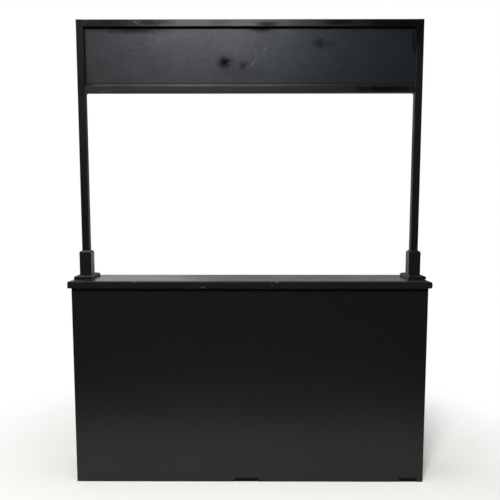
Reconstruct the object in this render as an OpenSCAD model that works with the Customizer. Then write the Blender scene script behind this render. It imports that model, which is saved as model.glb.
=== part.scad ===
// Market stall of painted timber: counter, two posts in bevelled sleeves, and a panelled header.
// Millimetres. The front faces -Y, +Z is up, and the origin is on the floor under the middle of the counter.

/* [Counter] */
// Length of the counter top from end to end
counter_w = 1800; // [1200:10:2400]
// Depth of the counter top from front edge to back edge
counter_d = 300; // [270:5:600]
// Height of the counter top's upper face above the floor
counter_h = 1035; // [800:5:1150]
// Thickness of the counter top
top_t = 34; // [24:1:50]
// How far the counter top stands out past the body on every side
top_overhang = 15; // [6:1:40]
// Radius worked along the long edges and the left end of the counter top
top_edge_r = 4; // [2:0.5:8]
// Radius of the counter top's right end, which is rounder
right_end_r = 11; // [4:0.5:11.5]
// Thickness of the front and end sheets
sheet_t = 12; // [9:1:18]

/* [Bottom notches] */
// Height of the notches in the bottom edge of the front sheet
notch_h = 20; // [10:1:34]
// Width of the notch near the middle
centre_notch_w = 120; // [40:1:240]
// Place of that notch along the front, from the middle
centre_notch_x = -16; // [-200:1:200]
// Width of the notch near the right end
end_notch_w = 88; // [40:1:200]
// Distance of that notch from the right end of the sheet
end_notch_gap = 32; // [20:1:120]
// How far the rubber pads in the notches stand back from the face of the sheet
pad_setback = 1; // [0.5:0.5:4]
// Play between a pad and the sides of its notch
pad_play = 0.5; // [0.3:0.1:2]
// Bevel along the upper and lower front edges of a pad
pad_bevel = 1.5; // [0.5:0.5:3]

/* [Inner frame] */
// Side of the square battens and rails inside the counter
batten_w = 35; // [28:1:45]
// Width of the eased arrises on all square timbers
ease = 1.5; // [0.5:0.5:3]

/* [Post bases] */
// Width of a flange plate, along the counter
flange_w = 90; // [84:1:140]
// Depth of a flange plate, across the counter
flange_d = 166; // [110:1:200]
// Thickness of a flange plate at the sleeve
flange_t = 18; // [12:1:24]
// Drop of the bevel around a flange plate
flange_bevel_h = 6; // [2:0.5:8]
// Run of the bevel around a flange plate
flange_bevel_run = 12; // [4:0.5:14]
// Gap from a flange plate to the end of the counter top
flange_end_gap = 1; // [0:1:60]
// Gap from a flange plate to the back edge of the counter top
flange_back_gap = 34; // [5:1:60]
// Height of the sleeve boards
sleeve_h = 125; // [60:1:200]
// Thickness of the sleeve boards
sleeve_t = 11; // [9:0.5:15]
// Drop of the bevel at the sleeve's upper edge
sleeve_bevel_h = 8; // [3:0.5:16]
// Run of the bevel at the sleeve's upper edge
sleeve_bevel_run = 10; // [3:0.5:10.5]
// Play between a post and the inside of its sleeve
post_play = 0.5; // [0.3:0.1:2]

/* [Posts and header] */
// Side of the square posts
post_w = 37; // [28:1:45]
// Height of the stall from the floor to the top of the header
stall_h = 2337; // [1900:1:2700]
// Height of the header from its lower to its upper edge
header_h = 357; // [200:1:500]
// Height of the header's upper rail
upper_rail_h = 35; // [25:1:60]
// Height of the header's lower rail
lower_rail_h = 43; // [30:1:70]
// Bevel on the upper front edge of the lower rail
lower_rail_bevel = 12; // [4:1:20]
// Thickness of the header panel
panel_t = 6; // [4:0.5:9]
// Distance from the front of the posts to the face of the header panel
panel_setback = 21; // [14:0.5:24]
// Depth of the groove in the posts and rails that holds the header panel
groove_d = 8; // [4:0.5:10]
// Play between the edge of the header panel and the bottom of its groove
panel_play = 0.5; // [0.3:0.1:2]

/* [Hidden] */
// Body of the counter
body_w = counter_w - 2 * top_overhang;
body_h = counter_h - top_t;
front_y = -counter_d / 2 + top_overhang;
back_y = counter_d / 2 - top_overhang;
frame_y = front_y + sheet_t;
frame_w = body_w - 2 * sheet_t;
rail_w = frame_w - 2 * batten_w;
side_rail_d = back_y - frame_y - 2 * batten_w;
end_notch_x = body_w / 2 - end_notch_gap - end_notch_w / 2;

// Post bases
base_x = counter_w / 2 - flange_end_gap - flange_w / 2;
base_y = counter_d / 2 - flange_back_gap - flange_d / 2;
base_z = counter_h + flange_t;
sleeve_w = post_w + 2 * (post_play + sleeve_t);

// Posts and header
post_h = stall_h - base_z;
header_z = stall_h - header_h;
header_w = 2 * base_x - post_w;
panel_y = base_y - post_w / 2 + panel_setback;
panel_opening_h = header_h - upper_rail_h - lower_rail_h;

cut = 1;
$fn = 48;

sheet_paint = "#1f2022";
timber_paint = "#1a1b1d";
top_paint = "#26272a";
frame_paint = "#202022";
pad_rubber = "#1c1f22";

// Shapes

// Rectangle about the origin with its corners cut off by a small bevel
module eased_rect(a, b, e = ease) {
    polygon([[-a / 2 + e, -b / 2], [a / 2 - e, -b / 2], [a / 2, -b / 2 + e], [a / 2, b / 2 - e],
        [a / 2 - e, b / 2], [-a / 2 + e, b / 2], [-a / 2, b / 2 - e], [-a / 2, -b / 2 + e]]);
}

// Rectangle about the origin with round corners
module round_rect(a, b, r) {
    square([a - 2 * r, b], center = true);
    square([a, b - 2 * r], center = true);
    for (x = [-1, 1], y = [-1, 1]) {
        translate([x * (a / 2 - r), y * (b / 2 - r)])
            circle(r);
    }
}

// Rectangle standing on the X axis with a bevel at both upper corners
module capped_rect(a, h, drop, run) {
    polygon([[-a / 2, 0], [a / 2, 0], [a / 2, h - drop], [a / 2 - run, h],
        [-a / 2 + run, h], [-a / 2, h - drop]]);
}

// Lays a profile drawn in X and Z along Y, centred
module along_y(l) {
    translate([0, l / 2, 0])
        rotate([90, 0, 0])
            linear_extrude(l)
                children();
}

// Lays a profile drawn in Y and Z along X, centred
module along_x(l) {
    translate([-l / 2, 0, 0])
        rotate([90, 0, 90])
            linear_extrude(l)
                children();
}

// Square timber along X, Y or Z from its middle, lower side or foot
module timber_x(l, w = batten_w, h = batten_w) {
    translate([0, 0, h / 2])
        along_x(l)
            eased_rect(w, h);
}

module timber_y(l) {
    translate([0, 0, batten_w / 2])
        along_y(l)
            eased_rect(batten_w, batten_w);
}

module timber_z(l, w = batten_w) {
    linear_extrude(l)
        eased_rect(w, w);
}

// Block with its upper edges bevelled all round, hipped at the corners
module capped_block(w, d, h, drop, run) {
    intersection() {
        along_y(d)
            capped_rect(w, h, drop, run);
        along_x(w)
            capped_rect(d, h, drop, run);
    }
}

// Counter

module front_panel() {
    color(sheet_paint)
        difference() {
            translate([-body_w / 2, front_y, 0])
                cube([body_w, sheet_t, body_h]);
            translate([centre_notch_x - centre_notch_w / 2, front_y - cut, -cut])
                cube([centre_notch_w, sheet_t + 2 * cut, notch_h + cut]);
            translate([end_notch_x - end_notch_w / 2, front_y - cut, -cut])
                cube([end_notch_w, sheet_t + 2 * cut, notch_h + cut]);
        }
}

// Rubber pad that stands in a notch, against the rail behind it
module foot_pad(x, notch_w) {
    face_y = front_y + pad_setback;
    pad_h = notch_h - pad_play;
    color(pad_rubber)
        translate([x, 0, 0])
            along_x(notch_w - 2 * pad_play)
                polygon([[face_y + pad_bevel, 0], [frame_y, 0], [frame_y, pad_h], [face_y + pad_bevel, pad_h],
                    [face_y, pad_h - pad_bevel], [face_y, pad_bevel]]);
}

module centre_foot_pad() {
    foot_pad(centre_notch_x, centre_notch_w);
}

module end_foot_pad() {
    foot_pad(end_notch_x, end_notch_w);
}

// The end sheets butt against the back of the front sheet
module side_panel(side) {
    color(sheet_paint)
        translate([side * (body_w - sheet_t) / 2 - sheet_t / 2, frame_y, 0])
            cube([sheet_t, back_y - frame_y, body_h]);
}

module left_side_panel() {
    side_panel(-1);
}

module right_side_panel() {
    side_panel(1);
}

// Outline of the counter top as seen from the front, each half with the radius of its own end
module top_outline() {
    for (end = [[-1, top_edge_r], [1, right_end_r]]) {
        intersection() {
            round_rect(counter_w, top_t, end[1]);
            translate([end[0] * counter_w / 2, 0])
                square([counter_w, top_t], center = true);
        }
    }
}

module counter_top() {
    color(top_paint)
        translate([0, 0, counter_h - top_t / 2])
            intersection() {
                along_y(counter_d)
                    top_outline();
                along_x(counter_w)
                    round_rect(counter_d, top_t, top_edge_r);
            }
}

// Inner frame

module corner_batten(side, y) {
    color(frame_paint)
        translate([side * (frame_w - batten_w) / 2, y, 0])
            timber_z(body_h);
}

module front_left_batten() {
    corner_batten(-1, frame_y + batten_w / 2);
}

module front_right_batten() {
    corner_batten(1, frame_y + batten_w / 2);
}

module rear_left_batten() {
    corner_batten(-1, back_y - batten_w / 2);
}

module rear_right_batten() {
    corner_batten(1, back_y - batten_w / 2);
}

module long_rail(y, z) {
    color(frame_paint)
        translate([0, y, z])
            timber_x(rail_w);
}

module front_top_rail() {
    long_rail(frame_y + batten_w / 2, body_h - batten_w);
}

module front_bottom_rail() {
    long_rail(frame_y + batten_w / 2, 0);
}

module rear_top_rail() {
    long_rail(back_y - batten_w / 2, body_h - batten_w);
}

module rear_bottom_rail() {
    long_rail(back_y - batten_w / 2, 0);
}

module short_rail(side, z) {
    color(frame_paint)
        translate([side * (frame_w - batten_w) / 2, (frame_y + back_y) / 2, z])
            timber_y(side_rail_d);
}

module left_top_rail() {
    short_rail(-1, body_h - batten_w);
}

module left_bottom_rail() {
    short_rail(-1, 0);
}

module right_top_rail() {
    short_rail(1, body_h - batten_w);
}

module right_bottom_rail() {
    short_rail(1, 0);
}

module centre_stud() {
    color(frame_paint)
        translate([0, frame_y + batten_w / 2, batten_w])
            timber_z(body_h - 2 * batten_w);
}

// Post bases

module post_flange(side) {
    color(timber_paint)
        translate([side * base_x, base_y, counter_h])
            capped_block(flange_w, flange_d, flange_t, flange_bevel_h, flange_bevel_run);
}

module left_post_flange() {
    post_flange(-1);
}

module right_post_flange() {
    post_flange(1);
}

// One board of a sleeve: dir is the way it faces, and the front and back boards cover the ends of the others
module sleeve_board(side, dir) {
    inner_w = sleeve_w - 2 * sleeve_t;
    reach = (sleeve_w - sleeve_t) / 2;
    size = dir[1] == 0 ? [sleeve_t, inner_w, sleeve_h] : [sleeve_w, sleeve_t, sleeve_h];
    color(timber_paint)
        translate([side * base_x, base_y, base_z])
            intersection() {
                capped_block(sleeve_w, sleeve_w, sleeve_h, sleeve_bevel_h, sleeve_bevel_run);
                translate([dir[0] * reach, dir[1] * reach, sleeve_h / 2])
                    cube(size, center = true);
            }
}

module left_sleeve_front() {
    sleeve_board(-1, [0, -1]);
}

module left_sleeve_back() {
    sleeve_board(-1, [0, 1]);
}

module left_sleeve_inner() {
    sleeve_board(-1, [1, 0]);
}

module left_sleeve_outer() {
    sleeve_board(-1, [-1, 0]);
}

module right_sleeve_front() {
    sleeve_board(1, [0, -1]);
}

module right_sleeve_back() {
    sleeve_board(1, [0, 1]);
}

module right_sleeve_inner() {
    sleeve_board(1, [-1, 0]);
}

module right_sleeve_outer() {
    sleeve_board(1, [1, 0]);
}

// Posts and header

// Space of the header panel: without play it is the groove that holds the panel on all four sides
module panel_space(play) {
    w = header_w + 2 * (groove_d - play);
    h = panel_opening_h + 2 * (groove_d - play);
    translate([-w / 2, panel_y, header_z + lower_rail_h - groove_d + play])
        cube([w, panel_t, h]);
}

module post(side) {
    color(timber_paint)
        difference() {
            translate([side * base_x, base_y, base_z])
                timber_z(post_h, post_w);
            panel_space(0);
        }
}

module left_post() {
    post(-1);
}

module right_post() {
    post(1);
}

module header_top_rail() {
    color(timber_paint)
        difference() {
            translate([0, base_y, stall_h - upper_rail_h])
                timber_x(header_w, post_w, upper_rail_h);
            panel_space(0);
        }
}

// The upper front edge slopes so that rain and dust run off
module header_bottom_rail() {
    front = -post_w / 2;
    back = post_w / 2;
    slope = front + lower_rail_bevel;
    color(timber_paint)
        difference() {
            translate([0, base_y, header_z])
                along_x(header_w)
                    polygon([[front + ease, 0], [back - ease, 0], [back, ease], [back, lower_rail_h],
                        [slope, lower_rail_h], [front, lower_rail_h - lower_rail_bevel], [front, ease]]);
            panel_space(0);
        }
}

module header_panel() {
    color(sheet_paint)
        panel_space(panel_play);
}

front_panel();
left_side_panel();
right_side_panel();
counter_top();
centre_foot_pad();
end_foot_pad();
front_left_batten();
front_right_batten();
rear_left_batten();
rear_right_batten();
front_top_rail();
front_bottom_rail();
rear_top_rail();
rear_bottom_rail();
left_top_rail();
left_bottom_rail();
right_top_rail();
right_bottom_rail();
centre_stud();
left_post_flange();
right_post_flange();
left_sleeve_front();
left_sleeve_back();
left_sleeve_inner();
left_sleeve_outer();
right_sleeve_front();
right_sleeve_back();
right_sleeve_inner();
right_sleeve_outer();
left_post();
right_post();
header_top_rail();
header_bottom_rail();
header_panel();
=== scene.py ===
import bpy
import bmesh
import math
from mathutils import Matrix, Vector


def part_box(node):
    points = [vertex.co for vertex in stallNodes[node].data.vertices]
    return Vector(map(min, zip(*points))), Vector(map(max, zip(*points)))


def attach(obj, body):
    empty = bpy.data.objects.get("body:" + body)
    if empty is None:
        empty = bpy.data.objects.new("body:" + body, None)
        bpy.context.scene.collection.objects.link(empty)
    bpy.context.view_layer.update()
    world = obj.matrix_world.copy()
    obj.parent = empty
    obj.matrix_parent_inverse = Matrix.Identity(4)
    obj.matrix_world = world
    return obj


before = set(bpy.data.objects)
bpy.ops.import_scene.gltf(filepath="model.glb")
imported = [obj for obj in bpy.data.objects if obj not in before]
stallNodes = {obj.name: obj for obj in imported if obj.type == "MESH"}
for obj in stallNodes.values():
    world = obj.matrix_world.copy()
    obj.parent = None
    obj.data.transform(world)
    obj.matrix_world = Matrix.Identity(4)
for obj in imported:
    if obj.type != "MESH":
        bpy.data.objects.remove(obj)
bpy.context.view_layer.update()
scene = bpy.context.scene
scene.view_settings.view_transform = "Standard"
print("stall: frame loaded,", len(stallNodes), "nodes")


# camera, at the photograph's viewing angle
viewPoint = {
    "place": (0.0117, -2.8043, 1.3882),
    "lookDown": 5.443,      # degrees below level
    "turn": 0.219,          # degrees to the left
    "lens": 39.14,          # mm
    "sensor": 36,           # mm
    "rise": 0.0232,         # shift that frames the stall as in the photograph
    "farEnd": 60,           # m
}


def placeCamera():
    lens = bpy.data.cameras.new("stallCamera")
    lens.sensor_width = viewPoint["sensor"]
    lens.lens = viewPoint["lens"]
    lens.shift_y = viewPoint["rise"]
    lens.clip_end = viewPoint["farEnd"]
    eye = bpy.data.objects.new("stallCamera", lens)
    eye.location = viewPoint["place"]
    eye.rotation_euler = (math.radians(90 - viewPoint["lookDown"]), 0, math.radians(viewPoint["turn"]))
    scene.collection.objects.link(eye)
    scene.camera = eye


placeCamera()
print("stall: camera placed")


# short hands for building node trees
def addNode(tree, kind, **settings):
    node = tree.nodes.new(kind)
    for key, value in settings.items():
        setattr(node, key, value)
    return node


def feed(tree, value, socket):
    if isinstance(value, bpy.types.NodeSocket):
        tree.links.new(value, socket)
    else:
        socket.default_value = value


def calc(tree, operation, a, b=0.0, clamp=False):
    node = addNode(tree, "ShaderNodeMath", operation=operation, use_clamp=clamp)
    feed(tree, a, node.inputs[0])
    feed(tree, b, node.inputs[1])
    return node.outputs[0]


def product(tree, first, *others):
    for other in others:
        first = calc(tree, "MULTIPLY", first, other)
    return first


def most(tree, first, *others):
    for other in others:
        first = calc(tree, "MAXIMUM", first, other)
    return first


def without(tree, value, mask):
    return calc(tree, "MULTIPLY", value, calc(tree, "SUBTRACT", 1.0, mask))


# two values added, each by its own share
def weigh(tree, first, firstShare, second, secondShare):
    return calc(tree, "ADD", product(tree, first, firstShare), product(tree, second, secondShare))


def vecCalc(tree, operation, a, b, out="Vector"):
    node = addNode(tree, "ShaderNodeVectorMath", operation=operation)
    feed(tree, a, node.inputs[0])
    feed(tree, b, node.inputs[1])
    return node.outputs[out]


def scaleTone(tree, tone, amount):
    node = addNode(tree, "ShaderNodeVectorMath", operation="SCALE")
    feed(tree, tone, node.inputs[0])
    feed(tree, amount, node.inputs["Scale"])
    return node.outputs[0]


def fadeBetween(tree, value, low, high, start=0.0, end=1.0):
    node = addNode(tree, "ShaderNodeMapRange", interpolation_type="SMOOTHSTEP")
    for socket, number in zip(node.inputs[:5], (value, low, high, start, end)):
        feed(tree, number, socket)
    return node.outputs[0]


def speckle(tree, place, scale, detail=3.0, rough=0.5, warp=0.0):
    node = addNode(tree, "ShaderNodeTexNoise")
    feed(tree, place, node.inputs["Vector"])
    feed(tree, scale, node.inputs["Scale"])
    node.inputs["Detail"].default_value = detail
    node.inputs["Roughness"].default_value = rough
    node.inputs["Distortion"].default_value = warp
    return node.outputs[0]


def blendTone(tree, mask, first, second):
    node = addNode(tree, "ShaderNodeMix", data_type="RGBA")
    feed(tree, mask, node.inputs[0])
    feed(tree, first, node.inputs[6])
    feed(tree, second, node.inputs[7])
    return node.outputs[2]


# one tone over another, each where its mask says
def layTones(tree, tone, *layers):
    for mask, over in layers:
        tone = blendTone(tree, mask, tone, over)
    return tone


def blendValue(tree, mask, first, second):
    node = addNode(tree, "ShaderNodeMix", data_type="FLOAT")
    feed(tree, mask, node.inputs[0])
    feed(tree, first, node.inputs[2])
    feed(tree, second, node.inputs[3])
    return node.outputs[0]


def axes(tree, vector):
    node = addNode(tree, "ShaderNodeSeparateXYZ")
    feed(tree, vector, node.inputs[0])
    return node.outputs[0], node.outputs[1], node.outputs[2]


# studio: a pale wall behind, a dim room in front, brighter towards the left
studio = {
    "wallTone": (0.52, 0.505, 0.475),       # low on the wall behind the stall, as gloss sees it
    "dimWall": 0.13,                        # share of it that is left just above the skirting
    "upperWall": 0.48,                      # and higher up
    "wallGlow": 1.3,                        # more of it behind the left end
    "farCorner": 0.85,                      # how much darker it is high on the right
    "ceilingTone": (2.0, 2.0, 2.05),        # lit half of the ceiling, over the left
    "lampTone": (6.2, 6.3, 6.5),            # brighter strip of it, ahead of the stall
    "roomTone": (0.06, 0.06, 0.06),         # low in the room behind the camera
    "leftTone": (0.93, 0.875, 0.94, 1),     # high on the left of that room
    "middleTone": (0.80, 0.90, 0.97, 1),    # cooler in its middle
    "rightTone": (0.03, 0.06, 0.08, 1),     # dark on its right
    "lean": -0.08,                          # the bright part lies lower on the left
    "offHeight": -0.016,                    # and starts a little higher
    "airTone": (0.18, 0.18, 0.18, 1),       # plain light from all round
    "groundTone": (1, 1, 1, 1),             # what the camera sees behind the stall
}
# where each part of the room starts and where it is full, by side, depth or height of the heading
roomFades = {
    "wallDepth": (0.1, 0.6),
    "wallFoot": (-0.19, -0.08),
    "glowSide": (-0.02, -0.2),
    "glowRise": (0.0, 0.1),
    "dimRise": (0.03, 0.10),
    "upperRise": (0.115, 0.132),
    "cornerSide": (0.05, 0.22),
    "cornerRise": (0.2, 0.45),
    "litSide": (0.10, 0.0),
    "roofRise": (0.76, 0.97),
    "stripRise": (0.78, 0.93),
    "stripDepth": (0.02, -0.14),
    "frontDepth": (0.1, -0.4),
    "frontRise": (0.1, 0.27),
    "leftSide": (-0.05, -0.25),
    "rightSide": (0.32, -0.32),
}


def lightWorld():
    world = bpy.data.worlds.new("studioWorld")
    scene.world = world
    world.use_nodes = True
    tree = world.node_tree
    tree.nodes.clear()
    heading = addNode(tree, "ShaderNodeTexCoord").outputs["Generated"]
    side, depth, height = axes(tree, heading)

    def fade(value, part, *ends):
        return fadeBetween(tree, value, *roomFades[part], *ends)

    # wall behind, down to a little under the horizon
    behind = product(tree, fade(depth, "wallDepth"), fade(height, "wallFoot"))
    glow = fade(side, "glowSide", 1.0, 1.0 + studio["wallGlow"])
    dim = fade(height, "dimRise", 1.0, studio["dimWall"])
    upper = blendValue(tree, fade(height, "upperRise"), dim, studio["upperWall"])
    upper = blendValue(tree, fade(height, "glowRise"), upper, product(tree, upper, glow))
    away = product(tree, fade(side, "cornerSide"), fade(height, "cornerRise"))
    upper = without(tree, upper, product(tree, away, studio["farCorner"]))
    wall = scaleTone(tree, studio["wallTone"], product(tree, behind, upper))
    lit = fade(side, "litSide")
    roof = scaleTone(tree, studio["ceilingTone"], product(tree, fade(height, "roofRise"), lit))
    strip = product(tree, fade(height, "stripRise"), fade(depth, "stripDepth"), lit)
    roof = vecCalc(tree, "ADD", roof, scaleTone(tree, studio["lampTone"], strip))
    # room in front, behind the camera
    lowered = calc(tree, "ADD", height, studio["offHeight"])
    slant = calc(tree, "ADD", product(tree, side, studio["lean"]), lowered)
    ahead = product(tree, fade(depth, "frontDepth"), fade(slant, "frontRise"))
    across = blendTone(tree, fade(side, "leftSide"), studio["middleTone"], studio["leftTone"])
    across = blendTone(tree, fade(side, "rightSide"), studio["rightTone"], across)
    front = vecCalc(tree, "ADD", scaleTone(tree, across, ahead), studio["roomTone"])
    total = vecCalc(tree, "ADD", vecCalc(tree, "ADD", wall, roof), front)
    # gloss sees the room, the rest gets a plain light, and the camera a white ground
    rays = addNode(tree, "ShaderNodeLightPath")
    total = blendTone(tree, rays.outputs["Is Glossy Ray"], studio["airTone"], total)
    total = blendTone(tree, rays.outputs["Is Camera Ray"], total, studio["groundTone"])
    sky = addNode(tree, "ShaderNodeBackground")
    feed(tree, total, sky.inputs["Color"])
    sky.inputs["Strength"].default_value = 1.0
    out = addNode(tree, "ShaderNodeOutputWorld")
    tree.links.new(sky.outputs[0], out.inputs["Surface"])


# floor: it fades out quicker towards the camera, where the room is dim
paleFloor = {
    "tone": (0.94, 0.93, 0.905, 1),
    "rough": 0.8,
    "reach": 6.0,                           # m
    "ahead": (-0.5, -1.3, 0.0, 0.82),       # from and to in m, and how clear it gets there
    "aside": (-0.1, 1.1, 0.0, 0.15),
    "asideDepth": (0.0, -0.2),
    "around": (0.95, 2.0),
}


def layFloor():
    mesh = bpy.data.meshes.new("studioFloor")
    reach = paleFloor["reach"]
    corners = [(-reach, -reach, 0), (reach, -reach, 0), (reach, reach, 0), (-reach, reach, 0)]
    mesh.from_pydata(corners, [], [(0, 1, 2, 3)])
    floor = bpy.data.objects.new("studioFloor", mesh)
    scene.collection.objects.link(floor)
    skin = bpy.data.materials.new("studioFloor")
    skin.use_nodes = True
    tree = skin.node_tree
    tree.nodes.clear()
    place = addNode(tree, "ShaderNodeTexCoord").outputs["Object"]
    side, depth, _ = axes(tree, place)
    ahead = fadeBetween(tree, depth, *paleFloor["ahead"])
    aside = fadeBetween(tree, side, *paleFloor["aside"])
    aside = product(tree, aside, fadeBetween(tree, depth, *paleFloor["asideDepth"]))
    away = vecCalc(tree, "LENGTH", place, (0, 0, 0), "Value")
    around = fadeBetween(tree, away, *paleFloor["around"])
    paint = addNode(tree, "ShaderNodeBsdfPrincipled")
    paint.inputs["Base Color"].default_value = paleFloor["tone"]
    paint.inputs["Roughness"].default_value = paleFloor["rough"]
    paint.inputs["Specular IOR Level"].default_value = 0.0
    clear = addNode(tree, "ShaderNodeBsdfTransparent")
    mix = addNode(tree, "ShaderNodeMixShader")
    feed(tree, most(tree, ahead, aside, around), mix.inputs[0])
    tree.links.new(paint.outputs[0], mix.inputs[1])
    tree.links.new(clear.outputs[0], mix.inputs[2])
    out = addNode(tree, "ShaderNodeOutputMaterial")
    tree.links.new(mix.outputs[0], out.inputs["Surface"])
    mesh.materials.append(skin)


# lamps: place, point looked at, width, height, watts, colour, shows in gloss
studioLamps = {
    "highSoftbox": ((-0.58, -5.0, 4.3), (0, 0.0, 1.9), 2.2, 0.9, 54, (0.92, 0.95, 1.0), True),
    "overheadFill": ((-0.3, -0.4, 4.6), (-0.1, 0.0, 0), 3.2, 2.6, 70, (1.0, 0.99, 0.97), False),
    "frontKey": ((-0.9, -4.6, 5.9), (0, 0, 1.1), 1.6, 0.9, 360, (1.0, 0.995, 0.98), False),
}


def hangLamp(name):
    place, target, width, height, watts, tone, inGloss = studioLamps[name]
    lamp = bpy.data.lights.new(name, "AREA")
    lamp.shape = "RECTANGLE"
    lamp.size = width
    lamp.size_y = height
    lamp.energy = watts
    lamp.color = tone
    stand = bpy.data.objects.new(name, lamp)
    stand.location = place
    aim = Vector(target) - Vector(place)
    stand.rotation_euler = aim.to_track_quat("-Z", "Y").to_euler()
    stand.visible_glossy = inGloss
    stand.visible_camera = False
    scene.collection.objects.link(stand)


lightWorld()
layFloor()
for lampName in studioLamps:
    hangLamp(lampName)
print("stall: studio lit")


# node groups that several finishes share
def newGroup(name, inputs, outputs):
    group = bpy.data.node_groups.new(name, "ShaderNodeTree")
    for label, kind, value in inputs:
        socket = group.interface.new_socket(label, in_out="INPUT", socket_type=kind)
        if value is not None:
            socket.default_value = value
    for label, kind in outputs:
        group.interface.new_socket(label, in_out="OUTPUT", socket_type=kind)
    entry = addNode(group, "NodeGroupInput")
    leave = addNode(group, "NodeGroupOutput")
    return group, entry.outputs, leave.inputs


def placeGroup(tree, group, **values):
    node = addNode(tree, "ShaderNodeGroup", node_tree=group)
    for label, value in values.items():
        feed(tree, value, node.inputs[label.replace("_", " ")])
    return node.outputs


number, vector = "NodeSocketFloat", "NodeSocketVector"

# roller coat on the sheets: a fine stipple, a few nibs, cloudy sheen and the faint lanes of the roller
rollerMix = {
    "stipple": 0.6,
    "wide": 0.8,                    # share of a second stipple, five times as wide
    "wideScale": 0.2,
    "nibs": 2.2,
    "nibScale": 34.0,
    "nibEdge": (0.05, 0.02),
    "nibAreaScale": 7.0,
    "nibArea": (0.52, 0.6),
    "lanes": 0.3,
    "laneScale": 1.7,
    "laneDrift": 0.5,
    "cloud": 0.7,
    "cloudScale": 3.4,
    "broad": 0.15,                  # share of lanes and cloud in the sheen
    "broadEnds": (0.34, 0.66),
    "fine": 0.85,                   # and of the mottle
    "fineEnds": (0.36, 0.64),
}


def buildRollerCoat():
    group, given, made = newGroup("rollerCoat", [
        ("Place", vector, None), ("Lane Axis", vector, (0.7, 0.7, 0)), ("Lane Width", number, 0.23),
        ("Stipple Size", number, 0.0022), ("Mottle Scale", number, 85.0)],
        [("Height", number), ("Sheen", number), ("Mottle", number)])
    place = given["Place"]
    inverse = calc(group, "DIVIDE", 1.0, given["Stipple Size"])
    stipple = speckle(group, place, inverse, detail=2.0, rough=0.55)
    wide = speckle(group, place, product(group, inverse, rollerMix["wideScale"]), detail=2.0)
    cells = addNode(group, "ShaderNodeTexVoronoi", feature="F1")
    feed(group, place, cells.inputs["Vector"])
    cells.inputs["Scale"].default_value = rollerMix["nibScale"]
    nibs = fadeBetween(group, cells.outputs["Distance"], *rollerMix["nibEdge"])
    nibArea = speckle(group, place, rollerMix["nibAreaScale"], detail=2.0)
    nibs = product(group, nibs, fadeBetween(group, nibArea, *rollerMix["nibArea"]), rollerMix["nibs"])
    height = weigh(group, stipple, rollerMix["stipple"], wide, rollerMix["wide"])
    feed(group, calc(group, "ADD", height, nibs), made["Height"])
    across = vecCalc(group, "DOT_PRODUCT", place, given["Lane Axis"], "Value")
    turned = scaleTone(group, given["Lane Axis"], calc(group, "DIVIDE", across, given["Lane Width"]))
    drawn = vecCalc(group, "ADD", turned, scaleTone(group, place, rollerMix["laneDrift"]))
    lanes = speckle(group, drawn, rollerMix["laneScale"], detail=2.0, rough=0.55)
    cloud = speckle(group, place, rollerMix["cloudScale"], detail=4.0, rough=0.55, warp=0.4)
    mottle = speckle(group, place, given["Mottle Scale"], rough=0.62)
    broad = weigh(group, lanes, rollerMix["lanes"], cloud, rollerMix["cloud"])
    broad = fadeBetween(group, broad, *rollerMix["broadEnds"])
    fine = fadeBetween(group, mottle, *rollerMix["fineEnds"])
    feed(group, weigh(group, broad, rollerMix["broad"], fine, rollerMix["fine"]), made["Sheen"])
    feed(group, fine, made["Mottle"])
    return group


# brush strokes and raised grain along a timber
brushMix = {
    "strokes": 0.55,
    "grain": 0.45,
    "grainScale": 0.45,
    "strokeSheen": 0.4,
    "cloudSheen": 0.6,
    "cloudScale": 9.0,
    "sheenEnds": (0.3, 0.7),
}


def buildBrushedGrain():
    group, given, made = newGroup("brushedGrain", [
        ("Place", vector, None), ("Stretch", vector, (1, 1, 0.05)), ("Stroke Size", number, 0.004)],
        [("Height", number), ("Sheen", number), ("Grain", number)])
    drawn = vecCalc(group, "MULTIPLY", given["Place"], given["Stretch"])
    inverse = calc(group, "DIVIDE", 1.0, given["Stroke Size"])
    strokes = speckle(group, drawn, inverse, rough=0.6)
    grainScale = product(group, inverse, brushMix["grainScale"])
    grain = speckle(group, drawn, grainScale, detail=4.0, rough=0.6, warp=0.6)
    feed(group, weigh(group, strokes, brushMix["strokes"], grain, brushMix["grain"]), made["Height"])
    cloud = speckle(group, given["Place"], brushMix["cloudScale"], rough=0.55)
    sheen = weigh(group, strokes, brushMix["strokeSheen"], cloud, brushMix["cloudSheen"])
    feed(group, fadeBetween(group, sheen, *brushMix["sheenEnds"]), made["Sheen"])
    feed(group, grain, made["Grain"])
    return group


# dust that settles on faces that look up
dustMix = {
    "faceUp": (0.35, 0.9),
    "patches": (0.28, 0.72, 0.55, 1.0),
    "fineScale": 420.0,
    "fine": (0.3, 0.7, 0.8, 1.0),
}


def buildDustFilm():
    group, given, made = newGroup("dustFilm", [
        ("Place", vector, None), ("Stretch", vector, (1, 1, 1)), ("Amount", number, 0.5),
        ("Patch Size", number, 0.08)], [("Dust", number)])
    facing = addNode(group, "ShaderNodeNewGeometry").outputs["Normal"]
    settled = fadeBetween(group, axes(group, facing)[2], *dustMix["faceUp"])
    drawn = vecCalc(group, "MULTIPLY", given["Place"], given["Stretch"])
    patchScale = calc(group, "DIVIDE", 1.0, given["Patch Size"])
    patches = speckle(group, drawn, patchScale, detail=5.0, rough=0.62, warp=0.3)
    patches = fadeBetween(group, patches, *dustMix["patches"])
    fine = speckle(group, given["Place"], dustMix["fineScale"], detail=2.0, rough=0.6)
    fine = fadeBetween(group, fine, *dustMix["fine"])
    feed(group, product(group, settled, patches, fine, given["Amount"]), made["Dust"])
    return group


# paint rubbed thin along the edges
wearMix = {"edge": (0.99, 0.8), "brokenScale": 38.0, "broken": (0.5, 0.68), "arris": (0.98, 0.86)}


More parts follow.
